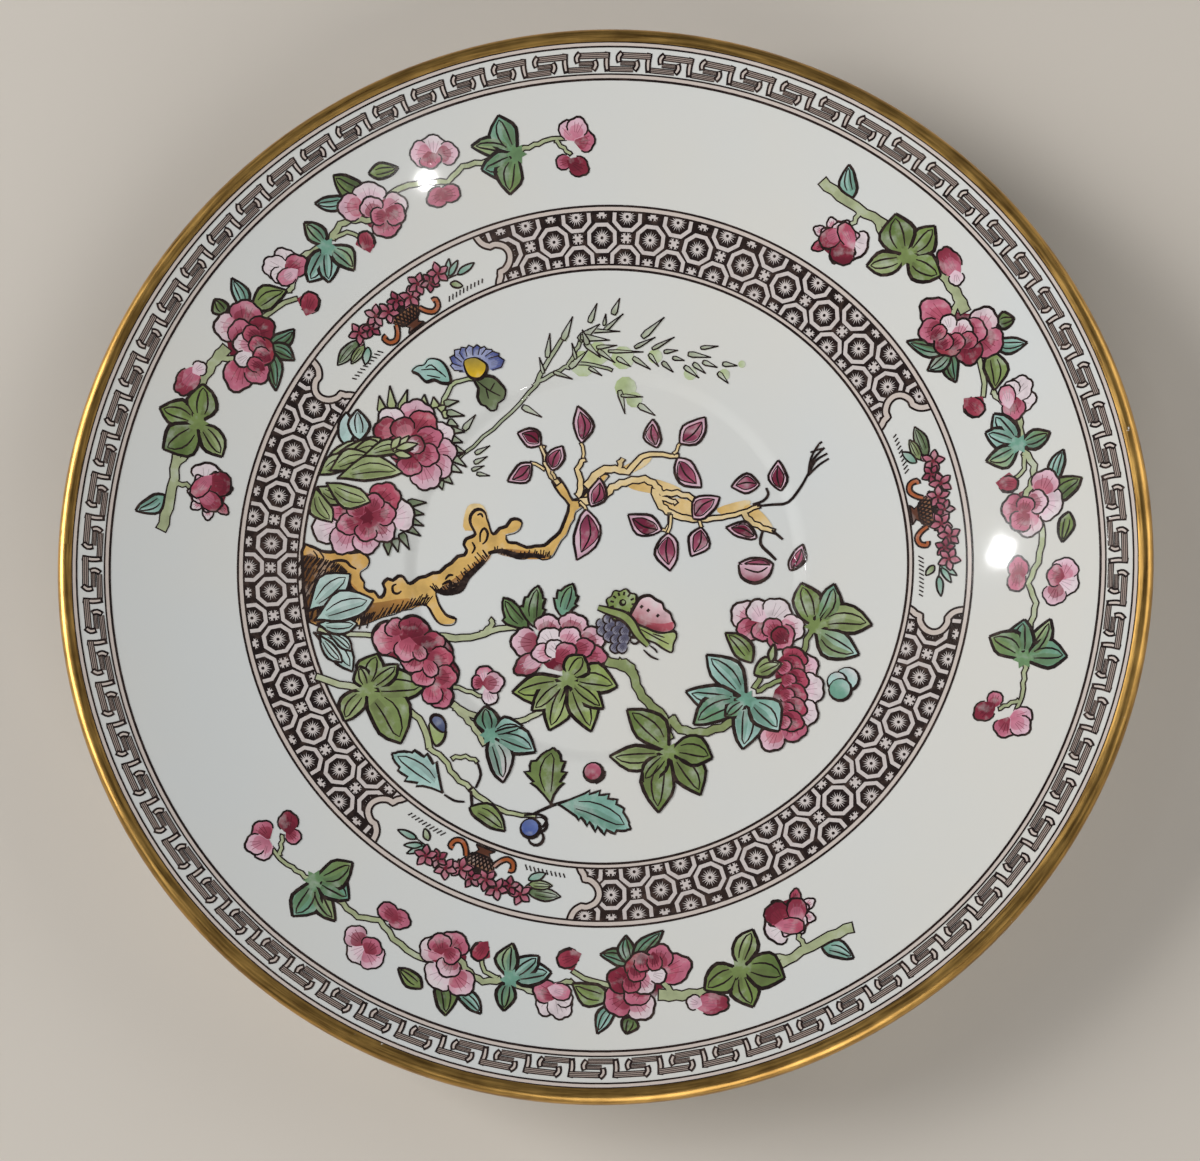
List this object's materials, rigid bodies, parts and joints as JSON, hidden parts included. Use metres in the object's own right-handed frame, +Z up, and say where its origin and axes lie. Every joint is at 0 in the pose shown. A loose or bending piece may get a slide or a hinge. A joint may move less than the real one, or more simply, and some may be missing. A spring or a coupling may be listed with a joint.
{
  "type": "china saucer plate",
  "caption": "Shallow round china plate of saucer form with a cup ring, a foot ring, a gilt lip, printed borders and enamel flower painting.",
  "frame": {"origin": "on the table, under the middle of the plate", "axes": "+Z up through the middle of the plate; +Y towards the bamboo spray at the top of the painting; +X to its right"},
  "size_m": [0.1446, 0.1446, 0.017],
  "materials": {
    "bone_china_clay": "matt fired clay, bare only at the foot",
    "clear_glaze": "glossy",
    "burnished_gold": "burnished gilding, a little worn",
    "sepia_print": "printed ink on a pale tint",
    "rose_enamel": "glossy enamel, shaded by hand",
    "green_enamel": "glossy enamel, shaded by hand",
    "ochre_enamel": "glossy enamel, shaded by hand"
  },
  "bodies": {
    "root": {"china_body": "bone_china_clay", "clear_glaze_coat": "clear_glaze", "foot_recess_glaze": "clear_glaze", "gilt_edge_band": "burnished_gold", "key_border_print": "sepia_print", "diaper_print_1": "sepia_print", "diaper_print_2": "sepia_print", "diaper_print_3": "sepia_print", "reserve_ornament_1": "rose_enamel", "reserve_ornament_2": "rose_enamel", "reserve_ornament_3": "rose_enamel", "rim_spray_1": "rose_enamel", "rim_spray_2": "rose_enamel", "rim_spray_3": "rose_enamel", "tree_enamel": "ochre_enamel", "bamboo_enamel": "green_enamel", "left_blossom_enamel": "rose_enamel", "lower_bough_enamel": "green_enamel", "trailing_sprig_enamel": "green_enamel"}
  },
  "joints": []
}
